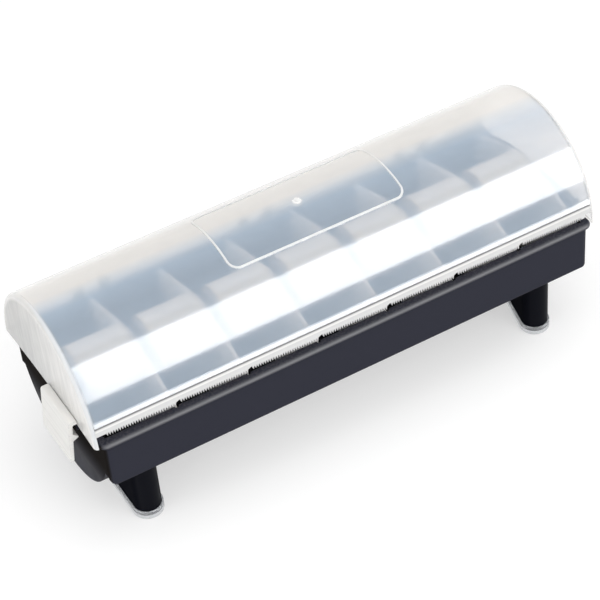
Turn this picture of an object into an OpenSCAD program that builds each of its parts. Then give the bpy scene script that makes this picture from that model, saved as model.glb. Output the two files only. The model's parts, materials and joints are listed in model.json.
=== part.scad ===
// Counter-top label dispenser: a half-round tray on four legs with a hinged clear lid,
// label rolls on the hubs of its dividers and a toothed tear strip along the front of the lid.
// +X runs along the tray, -Y is the front, +Z is up and z = 0 is the counter.

/* [Label slots] */
// Number of label slots side by side
slots = 7; // [3:1:9]
// Clear width of one slot
slot_w = 34; // [20:0.5:60]
// Thickness of a divider plate
divider_t = 1.6; // [1:0.1:3]
// Height of the arched top of the dividers and end walls above the trough axis
arch_rise = 11.5; // [8:0.5:14]
// Fall of the arch from its crown to the trough's sides
arch_fall = 11; // [7:0.5:14]
// Radius of the round shoulder of a divider, behind its hub
shoulder_r = 13.2; // [13:0.1:18]
// Fall of a divider's rear edge behind the shoulder, in degrees
divider_fall = 17; // [15:0.5:18]

/* [Tray] */
// Inside radius of the half-round trough
trough_r = 43; // [36:0.5:60]
// Wall thickness of the trough and its end walls
tray_wall = 2; // [1.6:0.1:3]
// Height of the trough axis above the counter
axis_z = 60.5; // [56:0.5:90]
// Height of the rim top above the trough axis
rim_rise = 4; // [3:0.5:8]
// Thickness of the rim flange
rim_t = 2.4; // [2:0.1:3]
// How far the rim flange stands out past the end walls
rim_end_over = 2.1; // [1.5:0.1:5]
// How far the rim lip stands out past the aprons
rim_lip = 1; // [0.5:0.1:2]
// Radius of the bulge along the rim flange's edge
rim_bulge_r = 1.6; // [1.55:0.05:3]
// Corner radius of the rim flange in plan
rim_corner_r = 4; // [3:0.5:8]
// How far an apron's face stands out from the trough's outside
apron_stand = 2.1; // [1.2:0.1:2.4]
// Thickness of an apron
apron_t = 2.4; // [2.4:0.1:4]
// Height of an apron below the rim flange
apron_h = 22.8; // [12:0.2:32]
// Radius of the apron's corners
apron_corner_r = 3; // [1:0.5:5]
// Depth of the divider grooves in the trough wall
groove_depth = 1; // [0.5:0.1:1.2]

/* [Legs and feet] */
// Distance from the tray's end face to the outer side of a leg
leg_inset = 13.5; // [8:0.1:30]
// Front radius of a leg
leg_front_r = 6.5; // [5:0.1:9]
// Rear radius of a leg
leg_rear_r = 3.5; // [2.5:0.1:4.5]
// Distance between a leg's front and rear centres
leg_length = 24; // [16:0.5:26]
// Distance from the apron face back to the front of a leg
leg_setback = 8.1; // [4:0.1:14]
// Wall of a foot pad round the leg
pad_wall = 0.8; // [0.5:0.1:1.5]
// Floor thickness of a foot pad
pad_floor = 2; // [1:0.1:4]
// Height of a foot pad
pad_h = 4.6; // [3:0.1:8]

/* [Lid] */
// Gap between the trough's outside and the lid's inside, measured at the radius
lid_gap = -0.1; // [-0.1:0.1:3]
// Wall thickness of the lid
lid_wall = 1.8; // [1.2:0.1:3]
// Gap between the rim's ends and the lid's end walls, which drop over them
lid_end_gap = 0.35; // [0.3:0.05:1]
// How far the corners of the lid's end walls hang below the rim top
lid_end_drop = 1.3; // [0:0.1:2]
// Rise of the arched lower edge of the lid's end walls
lid_end_arch = 2.6; // [1.5:0.1:4]
// Radius of the lid's end edges
lid_edge_r = 2.2; // [1.9:0.1:4]
// Clearance between the closed lid and the rim
lid_rest_gap = 0.3; // [0.2:0.1:1]
// Length of the raised outline on top of the lid
panel_len = 90; // [40:1:140]
// Width of the raised outline on top of the lid
panel_w = 41; // [24:1:60]
// Width of the raised outline's rib
panel_rib_w = 0.9; // [0.5:0.1:2]
// Height of the raised outline's rib
panel_rib_h = 0.35; // [0.2:0.05:0.8]
// Corner radius of the raised outline
panel_corner_r = 5; // [2:0.5:10]
// Radius of the moulding gate's pip on top of the lid
gate_r = 0.9; // [0.5:0.1:1.5]
// Height of the gate's pip above the lid's top
gate_h = 0.25; // [0.1:0.05:0.5]

/* [Tear strip] */
// Height of the tear strip's seam above the trough axis
seam_rise = 13.8; // [12:0.1:17]
// How far the dome flares out at the seam
flare_out = 0.9; // [0.5:0.1:0.9]
// Radius of the hollow of the flare
flare_r = 8; // [6:0.5:12]
// Height of the strip at the left end of each toothed run
strip_h = 6.3; // [4:0.1:7]
// Extra height at the right end of each toothed run
strip_skew = 0.8; // [0:0.1:1.5]
// Height of the plain ends of the strip
strip_end_h = 5; // [2.5:0.1:6]
// Radius of the round lug at the right end of the last run
strip_lug_r = 1.4; // [0.8:0.1:2]
// Thickness of the strip
strip_t = 1.4; // [1:0.1:1.7]
// How far the strip's face is set back from the lid's outside
strip_step = 0.4; // [0.2:0.05:0.8]
// Pitch of the teeth
tooth_pitch = 1.2; // [0.8:0.1:3]
// Height of a tooth
tooth_h = 1.8; // [0.6:0.1:2.2]

/* [Hinge] */
// Number of hinges along the rear rim
hinges = 3; // [2:1:4]
// Distance from the tray's end face to the middle of the first hinge
hinge_inset = 39; // [20:1:50]
// Radius of the hinge lugs and eyes
knuckle_r = 2; // [1.9:0.1:2.6]
// Radius of the hinge pin
pin_r = 1.2; // [0.9:0.1:1.3]
// Radial clearance of the pin in its eye
pin_clear = 0.05; // [0.02:0.01:0.1]
// Height of the hinge axis above the rim top
hinge_rise = 3.5; // [3:0.1:5]
// Length of the lug on the lid
lug_len = 9; // [6:0.5:16]
// Length of each eye on the rim
eye_len = 4; // [3:0.5:8]
// Side clearance between a lug and its eyes
lug_clear = 0.3; // [0.2:0.05:0.6]
// Clearance of the lid's notches above the eyes
notch_clear = 0.4; // [0.3:0.05:0.8]

/* [Latches] */
// Length of a latch along the lid's end
latch_len = 28; // [20:1:36]
// How far the latch's middle lies in front of the trough axis
latch_offset = 16; // [4:0.5:20]
// Height of the shelf's underside above the rim top
latch_shelf_rise = 1.6; // [1.2:0.1:4]
// Thickness of the latch
latch_t = 1.8; // [1.2:0.1:2.5]
// How far the latch plate stands out from the lid's end
latch_reach = 4.2; // [4:0.1:7]
// How far the plate's foot flares out past its top
latch_flare = 2.2; // [0:0.1:3]
// How far the plate hangs below the shelf
latch_drop = 20.5; // [14:0.5:26]
// Depth of the barb below the shelf
barb_drop = 9; // [8:0.1:12]
// Height of the barb
barb_h = 4; // [2:0.1:5]
// Clearance of the barb from the catch on the tray's end
barb_clear = 0.35; // [0.3:0.05:0.8]
// Thickness of the catch under the rim
catch_t = 1.6; // [1:0.1:3]
// How far the catch ends short of the latch at each side
catch_inset = 2; // [1:0.5:4]

/* [Label rolls] */
// Outside radius of a label roll
roll_r = 14.8; // [14.2:0.1:34]
// Width of the label liner
roll_w = 27; // [16:0.5:32]
// Gap between a roll and the divider on its right
roll_side_gap = 0.5; // [0.3:0.1:2]
// Inside radius of a roll's core
core_r = 12.7; // [10:0.1:14]
// Wall thickness of a roll's core
core_wall = 1; // [0.8:0.1:1.2]
// Height of the roll axis above the trough axis
hub_rise = 1.6; // [0:0.1:3]
// Clearance of a hub in its core
hub_clear = 0.25; // [0.1:0.05:0.5]
// Wall thickness of a hub
hub_wall = 1.6; // [1:0.1:3]
// How far a hub stands out past its roll
hub_tip = 1; // [0.5:0.1:3]

/* [Hidden] */
$fn = 96;
// Clearance of pieces that are pushed together
fit_gap = 0.05;
// Overlap of a cut past the face that it opens
cut = 1;
// Angle by which the bar of the flare runs past the seam
flare_lap = 1.5;

pitch = slot_w + divider_t;
tray_in = slots * pitch - divider_t;
tray_half = tray_in / 2 + tray_wall;
trough_out = trough_r + tray_wall;
apron_y = trough_out + apron_stand;
rim_z = axis_z + rim_rise;
rim_under = rim_z - rim_t;
rim_half_x = tray_half + rim_end_over;
rim_half_y = apron_y + rim_lip;
apron_z = rim_under - apron_h;
groove_r = trough_r + groove_depth;
divider_r = groove_r - fit_gap;
arch_r = (trough_r * trough_r + arch_fall * arch_fall) / (2 * arch_fall);

leg_x = tray_half - leg_inset - leg_front_r;
leg_y = apron_y - leg_setback - leg_front_r;

lid_in = trough_out + lid_gap;
lid_r = lid_in + lid_wall;
lid_in_half = rim_half_x + lid_end_gap;
lid_half = lid_in_half + lid_wall;
lid_z = rim_z + lid_rest_gap;
lid_arch_z = rim_z - lid_end_drop + lid_end_arch;
lid_arch_r = (lid_r * lid_r + lid_end_arch * lid_end_arch) / (2 * lid_end_arch);
inner_edge_r = lid_edge_r - lid_wall;

hinge_y = rim_half_y - knuckle_r;
hinge_z = rim_z + hinge_rise;
hinge_span = 2 * (tray_half - hinge_inset);
eye_start = lug_len / 2 + lug_clear;
eye_end = eye_start + eye_len;

strip_angle = asin((seam_rise - strip_h / 2) / lid_r);
seam_angle = asin(seam_rise / lid_r);
flare_edge = lid_r + flare_out;
flare_axis = lid_r + flare_r - fit_gap;
flare_span = acos((flare_axis ^ 2 + flare_edge ^ 2 - flare_r ^ 2) / (2 * flare_axis * flare_edge));
strip_top = lid_r * tan(seam_angle - strip_angle);
strip_half = lid_in_half - fit_gap;

latch_root = lid_half + lid_rest_gap;
latch_top_x = lid_half + latch_reach;
latch_z = rim_z + latch_shelf_rise;
catch_x = lid_half + lid_rest_gap;
barb_x = catch_x + barb_clear;

roll_z = axis_z + hub_rise;
core_out = core_r + core_wall;
hub_r = core_r - hub_clear;
hub_len = roll_side_gap + roll_w + hub_tip;

// Middle of a slot, counted from 1 at the left
function slot_x(i) = (i - (slots + 1) / 2) * pitch;
// Middle of a divider, counted from 1 at the left; the last one stands against the end wall
function divider_x(i) = i < slots ? (i - slots / 2) * pitch : tray_in / 2 - divider_t / 2 - fit_gap;
// Middle of a roll, on the hub of the divider at its right
function roll_x(i) = divider_x(i) - divider_t / 2 - roll_side_gap - roll_w / 2;
// Middle of a hinge, counted from 0 at the left
function hinge_x(i) = (i / (hinges - 1) - 0.5) * hinge_span;

// Stands a cross-section drawn in Y and Z along the X axis
module along_x(len) {
    rotate([90, 0, 90]) linear_extrude(len, center = true) children();
}

// Cylinder lying along X, centred on its length
module rod_x(r, len) {
    rotate([0, 90, 0]) cylinder(r = r, h = len, center = true);
}

// Rectangle with round corners
module round_rect(w, h, r) {
    square([w - 2 * r, h], center = true);
    square([w, h - 2 * r], center = true);
    for (x = [-1, 1], y = [-1, 1]) {
        translate([x * (w / 2 - r), y * (h / 2 - r)]) circle(r);
    }
}

// Cross-section of the trough: half round below the axis, upright sides up to the top
module trough_section(r, top) {
    intersection() {
        union() {
            circle(r);
            translate([-r, 0]) square([2 * r, top]);
        }
        translate([-r, -r]) square([2 * r, r + top]);
    }
}

// Trough section closed by a shallow arch, as on the dividers and the end walls
module arched_section(r) {
    intersection() {
        trough_section(r, arch_rise);
        translate([0, arch_rise - arch_r]) circle(arch_r);
    }
}

// Outline of a divider: an arch with a round shoulder behind the hub, falling straight to the rear
module divider_section() {
    tangent = shoulder_r * [sin(divider_fall), cos(divider_fall)];
    rear_rise = hub_rise + shoulder_r / cos(divider_fall) - divider_r * tan(divider_fall);
    arched_section(divider_r);
    translate([0, hub_rise]) circle(shoulder_r);
    polygon([[0, 0], [divider_r, 0], [divider_r, rear_rise], [0, hub_rise] + tangent]);
}

// Cross-section of a plate's edge, bulging out to its reach
module bulged_edge(reach, t) {
    square([reach - rim_bulge_r, t]);
    intersection() {
        translate([reach - rim_bulge_r, t / 2]) circle(rim_bulge_r);
        square([reach, t]);
    }
}

// Flat plate with round corners and a bulged edge all round
module bulged_plate(half_x, half_y, t, corner_r) {
    in_x = half_x - corner_r;
    in_y = half_y - corner_r;
    translate([-in_x, -in_y, 0]) cube([2 * in_x, 2 * in_y, t]);
    for (s = [0, 180]) {
        rotate([0, 0, s]) {
            translate([0, in_y, 0]) along_x(2 * in_x) bulged_edge(corner_r, t);
            translate([in_x, 0, 0]) rotate([90, 0, 0]) linear_extrude(2 * in_y, center = true) {
                bulged_edge(corner_r, t);
            }
        }
    }
    for (x = [-1, 1], y = [-1, 1]) {
        translate([x * in_x, y * in_y, 0]) rotate_extrude() bulged_edge(corner_r, t);
    }
}

// Plan of a leg: two circles joined by their tangents, straight on the outer side
module leg_plan(grow) {
    front_r = leg_front_r + grow;
    rear_r = leg_rear_r + grow;
    shift = front_r - rear_r;
    turn = 2 * atan2(leg_length, shift);
    tangent = [cos(turn), sin(turn)];
    circle(front_r);
    translate([shift, leg_length]) circle(rear_r);
    rear_point = [shift, leg_length] + rear_r * tangent;
    polygon([[front_r, 0], [front_r, leg_length], rear_point, front_r * tangent]);
}

// Puts a leg or a foot pad under one corner of the tray
module at_leg(side, end) {
    mirror([side < 0 ? 1 : 0, 0, 0]) mirror([0, end < 0 ? 0 : 1, 0]) {
        translate([leg_x, -leg_y, 0]) children();
    }
}

module leg() {
    translate([0, 0, pad_floor]) linear_extrude(axis_z - pad_floor) leg_plan(0);
}

module foot_pad(side, end) {
    color([0.72, 0.73, 0.75]) at_leg(side, end) difference() {
        linear_extrude(pad_h) leg_plan(pad_wall);
        translate([0, 0, pad_floor]) linear_extrude(pad_h) leg_plan(fit_gap);
    }
}

// One hinge eye on the rear rim
module hinge_eye() {
    difference() {
        union() {
            rod_x(knuckle_r, eye_len);
            translate([-eye_len / 2, -knuckle_r, -hinge_rise - rim_t / 2]) {
                cube([eye_len, 2 * knuckle_r, hinge_rise + rim_t / 2]);
            }
        }
        rod_x(pin_r + pin_clear, eye_len + 2 * cut);
    }
}

// Apron hanging from the rim flange, at the front or at the rear
module apron(end) {
    y = end < 0 ? -apron_y : apron_y - apron_t;
    height = apron_h + rim_t / 2;
    translate([0, y + apron_t, apron_z + height / 2]) rotate([90, 0, 0]) linear_extrude(apron_t) {
        round_rect(2 * tray_half, height, apron_corner_r);
        translate([-tray_half, 0]) square([2 * tray_half, height / 2]);
    }
}

// End wall with the returns of both aprons
module end_wall(side) {
    x = side * (tray_half - tray_wall / 2);
    translate([x, 0, axis_z]) along_x(tray_wall) {
        arched_section(trough_out);
        translate([-apron_y, apron_z + apron_corner_r - axis_z]) {
            square([2 * apron_y, apron_h + rim_t / 2 - apron_corner_r]);
        }
    }
}

// Ledge under the rim's end that the latch's barb closes over
module latch_catch(side) {
    in_x = tray_half - tray_wall / 2;
    len = latch_len - 2 * catch_inset;
    mirror([side < 0 ? 1 : 0, 0, 0]) {
        translate([in_x, -latch_offset - len / 2, rim_under - catch_t]) {
            cube([catch_x - in_x, len, catch_t + rim_t / 4]);
        }
    }
}

module base_tray() {
    color([0.2, 0.2, 0.23]) {
        difference() {
            union() {
                intersection() {
                    union() {
                        translate([0, 0, axis_z]) along_x(2 * tray_half) {
                            trough_section(trough_out, rim_rise);
                        }
                        apron(-1);
                        apron(1);
                        end_wall(-1);
                        end_wall(1);
                    }
                    linear_extrude(2 * axis_z) round_rect(2 * tray_half, 2 * apron_y, apron_corner_r);
                }
                translate([0, 0, rim_under]) bulged_plate(rim_half_x, rim_half_y, rim_t, rim_corner_r);
                latch_catch(-1);
                latch_catch(1);
                for (side = [-1, 1], end = [-1, 1]) {
                    at_leg(side, end) leg();
                }
                for (i = [0 : hinges - 1], s = [-1, 1]) {
                    translate([hinge_x(i) + s * (eye_start + eye_len / 2), hinge_y, hinge_z]) hinge_eye();
                }
            }
            translate([0, 0, axis_z]) along_x(tray_in) trough_section(trough_r, 2 * trough_r);
            for (i = [1 : slots]) {
                translate([divider_x(i), 0, axis_z]) along_x(divider_t + 2 * fit_gap) {
                    trough_section(groove_r, rim_rise + cut);
                }
            }
        }
    }
}

module divider(i) {
    color([0.86, 0.87, 0.87]) translate([divider_x(i), 0, axis_z]) difference() {
        union() {
            along_x(divider_t) divider_section();
            translate([-(divider_t + hub_len) / 2, 0, hub_rise]) rod_x(hub_r, hub_len);
        }
        translate([(hub_wall - hub_len + cut) / 2, 0, hub_rise]) {
            rod_x(hub_r - hub_wall, hub_len + divider_t - hub_wall + cut);
        }
    }
}

module label_roll(i) {
    color([0.94, 0.93, 0.91]) translate([roll_x(i), 0, roll_z]) difference() {
        rod_x(roll_r, roll_w);
        rod_x(core_out, roll_w + 2 * cut);
    }
}

module roll_core(i) {
    color([0.66, 0.52, 0.38]) translate([roll_x(i), 0, roll_z]) difference() {
        rod_x(core_out - fit_gap, roll_w);
        rod_x(core_r, roll_w + 2 * cut);
    }
}

// Solid of revolution about X with round end edges
module capped_drum(r, half, edge) {
    rotate([0, 90, 0]) rotate_extrude() {
        translate([0, -half]) square([r - edge, 2 * half]);
        translate([0, -half + edge]) square([r, 2 * (half - edge)]);
        for (s = [-1, 1]) {
            translate([r - edge, s * (half - edge)]) circle(edge);
        }
    }
}

// Places a piece in the plane of the tear strip, Y pointing into the lid and Z up along it
module at_strip() {
    translate([0, 0, axis_z]) rotate([-strip_angle, 0, 0]) {
        translate([0, -lid_r, strip_top]) children();
    }
}

// Raised outline on top of the lid, set out in plan and kept to a thin skin over the dome
module panel_outline() {
    intersection() {
        translate([0, 0, axis_z]) rod_x(lid_r + panel_rib_h, panel_len + 2 * cut);
        translate([0, 0, axis_z]) linear_extrude(2 * lid_r) difference() {
            round_rect(panel_len, panel_w, panel_corner_r);
            round_rect(panel_len - 2 * panel_rib_w, panel_w - 2 * panel_rib_w,
                panel_corner_r - panel_rib_w);
        }
    }
}

// Flare along the dome's lower front edge: a bar on the dome, hollowed by a cylinder
module seam_flare() {
    top = seam_angle + flare_span;
    low = [-cos(seam_angle - flare_lap), sin(seam_angle - flare_lap)];
    high = [-cos(top), sin(top)];
    root = lid_r - lid_wall / 2;
    difference() {
        along_x(2 * strip_half) {
            polygon([root * low, flare_edge * low, flare_edge * high, root * high]);
        }
        translate([0, -flare_axis * cos(top), flare_axis * sin(top)]) rod_x(flare_r, 2 * lid_half);
    }
}

module lid_shell() {
    color([0.9, 0.91, 0.92, 0.5]) {
        difference() {
            union() {
                translate([0, 0, axis_z]) capped_drum(lid_r, lid_half, lid_edge_r);
                panel_outline();
                translate([0, 0, axis_z]) cylinder(r = gate_r, h = lid_r + gate_h);
                translate([0, 0, axis_z]) seam_flare();
            }
            translate([0, 0, axis_z]) capped_drum(lid_in, lid_in_half, inner_edge_r);
            translate([-lid_in_half, -lid_r - cut, lid_z - 2 * lid_r]) {
                cube([2 * lid_in_half, 2 * (lid_r + cut), 2 * lid_r]);
            }
            translate([0, 0, lid_arch_z - lid_arch_r]) rod_x(lid_arch_r, 2 * (lid_half + cut));
            at_strip() translate([-lid_in_half, -cut, -lid_r]) {
                cube([2 * lid_in_half, lid_r / 2, lid_r]);
            }
            for (i = [0 : hinges - 1], s = [-1, 1]) {
                translate([hinge_x(i) + s * (eye_start + eye_len / 2), hinge_y, hinge_z]) {
                    translate([0, 0, (knuckle_r + notch_clear) - lid_r / 2]) {
                        cube([eye_len + 2 * lug_clear, lid_r / 2, lid_r], center = true);
                    }
                }
            }
        }
        for (i = [0 : hinges - 1]) {
            translate([hinge_x(i), hinge_y, hinge_z]) {
                rod_x(knuckle_r, lug_len);
                rod_x(pin_r, 2 * eye_end);
            }
        }
    }
}

// Lower edge of the tear strip: one skewed run of teeth per slot
function strip_root(u) = -strip_h + tooth_h - strip_skew * u;
teeth = floor(slot_w / tooth_pitch);
run_w = teeth * tooth_pitch;
strip_edge = [for (i = [1 : slots], k = [0 : teeth - 1], p = [0, 1])
    let (u = (k + p / 2) / teeth) [slot_x(i) + (u - 0.5) * run_w, strip_root(u) - p * tooth_h]];
strip_close = [for (i = [1 : slots]) [slot_x(i) + run_w / 2, strip_root(1)]];

module tear_strip() {
    color([0.92, 0.93, 0.93]) at_strip() translate([0, strip_step + strip_t, 0]) rotate([90, 0, 0]) {
        linear_extrude(strip_t) {
            polygon(concat([[-strip_half, 0], [-strip_half, -strip_end_h], [strip_edge[0].x, -strip_end_h]],
                [for (i = [1 : slots], k = [0 : 2 * teeth])
                    k < 2 * teeth ? strip_edge[(i - 1) * 2 * teeth + k] : strip_close[i - 1]],
                [[strip_close[slots - 1].x, -strip_end_h], [strip_half, -strip_end_h], [strip_half, 0]]));
            translate([slot_x(slots) + run_w / 2, strip_root(1)]) circle(strip_lug_r);
        }
    }
}

// Inner face of a latch plate at a depth below the shelf
function latch_in_x(drop) = latch_top_x - latch_t + latch_flare * drop / latch_drop;

// Latch: a shelf on the lid's end, a flared plate hanging from it and a barb on its inside
module latch(side) {
    foot_z = latch_z - latch_drop;
    barb_z = latch_z - barb_drop;
    color([0.9, 0.91, 0.91]) mirror([side < 0 ? 1 : 0, 0, 0]) {
        translate([0, -latch_offset + latch_len / 2, 0]) rotate([90, 0, 0]) linear_extrude(latch_len) {
            polygon([[latch_root, latch_z],
                [latch_root, latch_z + latch_t],
                [latch_top_x, latch_z + latch_t],
                [latch_top_x + latch_flare, foot_z],
                [latch_in_x(latch_drop), foot_z],
                [latch_in_x(barb_drop), barb_z],
                [barb_x, barb_z + barb_h / 3],
                [barb_x, barb_z + barb_h / 2],
                [latch_in_x(barb_drop - barb_h), barb_z + barb_h],
                [latch_in_x(0), latch_z]]);
        }
    }
}

module latch_left() {
    latch(-1);
}

module latch_right() {
    latch(1);
}

base_tray();
foot_pad(-1, -1);  // foot_pad_front_left
foot_pad(1, -1);  // foot_pad_front_right
foot_pad(-1, 1);  // foot_pad_rear_left
foot_pad(1, 1);  // foot_pad_rear_right
for (i = [1 : slots]) {
    divider(i);
    label_roll(i);
    roll_core(i);
}
lid_shell();
tear_strip();
latch_left();
latch_right();
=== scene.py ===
"""Looks of a counter-top label dispenser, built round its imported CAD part.

The tray, the lid, the tear strip and the dividers are the CAD part's own nodes and only get a finish here.
The label rolls, their cores, the latches and the foot pads are drawn again as numpy surfaces, with softer
edges and finer detail, and take the place of their CAD nodes. All lengths are in metres, +X runs along the
tray, -Y is the front and +Z is up.
"""

import json
import math

import bmesh
import bpy
import numpy as np
from bpy.props import FloatProperty, FloatVectorProperty, IntProperty, PointerProperty
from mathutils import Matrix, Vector

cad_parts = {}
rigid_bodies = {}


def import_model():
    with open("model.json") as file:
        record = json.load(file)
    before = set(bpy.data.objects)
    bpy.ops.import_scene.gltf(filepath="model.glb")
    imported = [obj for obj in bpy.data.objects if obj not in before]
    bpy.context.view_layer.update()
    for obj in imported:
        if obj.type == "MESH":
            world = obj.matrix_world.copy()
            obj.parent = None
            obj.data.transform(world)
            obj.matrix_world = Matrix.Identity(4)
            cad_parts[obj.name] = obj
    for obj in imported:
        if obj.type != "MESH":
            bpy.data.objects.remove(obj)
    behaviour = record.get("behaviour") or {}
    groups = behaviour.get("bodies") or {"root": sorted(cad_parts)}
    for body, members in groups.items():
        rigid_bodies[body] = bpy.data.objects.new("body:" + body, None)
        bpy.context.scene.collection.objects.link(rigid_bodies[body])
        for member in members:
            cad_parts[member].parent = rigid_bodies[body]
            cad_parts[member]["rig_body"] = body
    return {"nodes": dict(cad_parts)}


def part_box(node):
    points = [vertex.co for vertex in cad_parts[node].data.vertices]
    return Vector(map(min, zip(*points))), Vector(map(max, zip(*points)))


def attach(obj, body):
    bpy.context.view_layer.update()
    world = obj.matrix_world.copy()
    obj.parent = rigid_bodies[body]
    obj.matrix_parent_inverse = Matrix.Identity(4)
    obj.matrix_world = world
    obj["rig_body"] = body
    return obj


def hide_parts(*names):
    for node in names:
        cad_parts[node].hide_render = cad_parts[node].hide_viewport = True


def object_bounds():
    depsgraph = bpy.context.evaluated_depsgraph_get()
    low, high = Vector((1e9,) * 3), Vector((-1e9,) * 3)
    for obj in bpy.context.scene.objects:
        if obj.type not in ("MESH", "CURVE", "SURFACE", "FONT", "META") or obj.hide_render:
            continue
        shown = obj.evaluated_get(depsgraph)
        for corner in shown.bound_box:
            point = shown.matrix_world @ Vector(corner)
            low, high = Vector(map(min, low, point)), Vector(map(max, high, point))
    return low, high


bl_info = {
    "name": "Label Dispenser Looks",
    "version": (1, 0, 0),
    "blender": (4, 5, 0),
    "location": "View3D > Sidebar > Dispenser",
    "description": "Dresses the packed label dispenser and sets up its studio",
    "category": "Object",
}

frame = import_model()
CAD_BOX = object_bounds()
NODES = frame["nodes"]


def nodes_named(start):
    """Names of the CAD nodes that begin with a word, in order."""
    return sorted(name for name in NODES if name.startswith(start))


ROLLS = nodes_named("label_roll_")
CORES = nodes_named("roll_core_")
DIVIDERS = nodes_named("divider_")
PADS = nodes_named("foot_pad_")
LATCHES = nodes_named("latch_")

# Places on the CAD part that the finishes follow
AXIS_Z = 0.0605  # height of the axis of the lid's dome
LID_R = 0.0467  # outer radius of the dome
LID_HALF = float(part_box("lid_shell")[1][0])  # half the length of the lid
OUTLINE_Z = 0.08  # the lid's raised outline and gate mark lie above this height
SEAM_Z = 0.0726  # painted shadow darkens the tear strip above this height, up to its seam with the dome
LEG_Z = 0.039  # painted shade makes the tray's skin blacker below this height
END_FADE = (0.022, 0.046)  # heights between which painted shade under the lid turns the tray's outer end faces from charcoal to brown black
RIM_Z = 0.0645  # top of the tray's rim
RIM_Y = float(CAD_BOX[1][1])  # half the depth of the part, where the rim's outer edge lies
PAD_GRIME_Z = 0.003  # the foot pads are dusty up to this height

# Second colours of the finishes, in scene linear values
WHITE = (1, 1, 1, 1)
LID_SHADE = (0.74, 0.74, 0.74, 1)  # light left in the lid's shadow
STREAK_GREY = (0.60, 0.60, 0.59, 1)
# painted shade along the edges of the white plastic parts
EDGE_SHADE = (0.32, 0.32, 0.33, 1)
# painted shadow at the top of the tear strip
SEAM_SHADOW = (0.10, 0.10, 0.11, 1)
SCUFF_GREY = (0.70, 0.70, 0.69, 1)
PAD_GRIME = (0.16, 0.16, 0.165, 1)
PAPER_FIBRE = (0.70, 0.69, 0.66, 1)
CARD_FIBRE = (0.50, 0.36, 0.23, 1)
CARD_FLECK = (0.14, 0.09, 0.05, 1)
CARD_SEAM = (0.12, 0.075, 0.04, 1)
FLOOR_MOTTLE = (0.925, 0.925, 0.925, 1)

# Fine lengths and counts of points of the drawn pieces
FINE_ROUND = 0.00025  # radius of the cores' rims and of the pads' lips
CORE_GAP = 0.00005  # gap between a roll and its core
LABEL_STEP = 0.00005  # width of the step down from a label to its liner
TURN_PITCH = 0.0003  # thickness of one wound turn
SPIRAL_PITCH = 0.019  # width of one turn of a core's card
ROLL_TURN = 0.9  # each roll is turned this many radians further than the last
FACE_RINGS = 22  # on each face of a roll
TREAD_ROWS = 9  # across a roll's tread, besides those at the edges of the labels
BORE_ROWS = 4  # across a roll's bore
TUBE_ROWS = 24  # along a core
TUBE_POINTS = 120  # round a core
BOOT_POINTS = 160  # round a foot pad
LATCH_ROWS = 9  # along a latch
BEND_STEPS = 5  # round a rim, lip or edge

# Camera as solved from the photo: place, turn in degrees, lens and sensor in millimetres
CAMERA_PLACE = (-0.32885, -0.64423, 0.70454)
CAMERA_TURN = (47.621657, 4.018639, -30.475764)
CAMERA_LENS = 126.53
CAMERA_SENSOR = 36.0
FLOOR_HALF = 6  # half the width of the studio floor


def node_box(name):
    """Lowest and highest corner of a CAD node, as two arrays."""
    low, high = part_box(name)
    return np.array(low), np.array(high)


def side_of(node):
    """-1 for a CAD node at the left and 1 for one at the right."""
    return -1 if node.endswith("left") else 1


class DispenserSizes(bpy.types.PropertyGroup):
    """Sizes of the fine forms that the CAD part leaves plain."""

    label_len: FloatProperty(
        name="Label length", description="Length of one label along the liner",
        default=0.0254, unit="LENGTH")
    label_gap: FloatProperty(
        name="Label gap", description="Bare liner between two labels",
        default=0.0032, unit="LENGTH")
    label_edge: FloatProperty(
        name="Liner margin", description="Bare liner beside the labels",
        default=0.0009, unit="LENGTH")
    label_raise: FloatProperty(
        name="Label thickness", description="How far a label stands up from its liner",
        default=0.0001, unit="LENGTH")
    wind_step: FloatProperty(
        name="Winding step", description="Step where the outer turn ends",
        default=0.00022, unit="LENGTH")
    wind_slip: FloatProperty(
        name="Winding slip", description="How far single turns slip sideways on a roll's faces",
        default=0.00025, unit="LENGTH")
    core_bore: FloatProperty(
        name="Core bore", description="Radius of the hole in a roll's core",
        default=0.0127, unit="LENGTH")
    latch_wall: FloatProperty(
        name="Latch thickness", description="Thickness of a latch's shelf and plate",
        default=0.0018, unit="LENGTH")
    latch_reach: FloatProperty(
        name="Latch reach", description="Distance from the latch's root to the top of its plate",
        default=0.0039, unit="LENGTH")
    barb_drop: FloatProperty(
        name="Barb depth", description="Depth of the barb below the shelf",
        default=0.009, unit="LENGTH")
    barb_height: FloatProperty(
        name="Barb height", description="Height of the barb",
        default=0.004, unit="LENGTH")
    barb_in: FloatProperty(
        name="Barb reach", description="Distance of the barb's tip from the latch's root",
        default=0.00035, unit="LENGTH")
    latch_fillet: FloatProperty(
        name="Latch fillet", description="Radius of the latch's bends",
        default=0.0007, unit="LENGTH")
    latch_edge: FloatProperty(
        name="Latch edge", description="Width of the rounding round a latch's two ends",
        default=0.0003, unit="LENGTH")
    pad_front: FloatProperty(
        name="Pad front radius", description="Radius of a foot pad's wide end",
        default=0.0073, unit="LENGTH")
    pad_rear: FloatProperty(
        name="Pad rear radius", description="Radius of a foot pad's narrow end",
        default=0.0043, unit="LENGTH")
    pad_wall: FloatProperty(
        name="Pad wall", description="Wall of a foot pad round the leg",
        default=0.00075, unit="LENGTH")
    pad_floor: FloatProperty(
        name="Pad floor", description="Thickness of the pad under the leg",
        default=0.002, unit="LENGTH")
    pad_edge: FloatProperty(
        name="Pad edge", description="Radius of the pad's lower edge",
        default=0.0007, unit="LENGTH")
    turns: IntProperty(
        name="Points a turn", description="Points round a roll",
        default=320, min=48)


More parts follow.
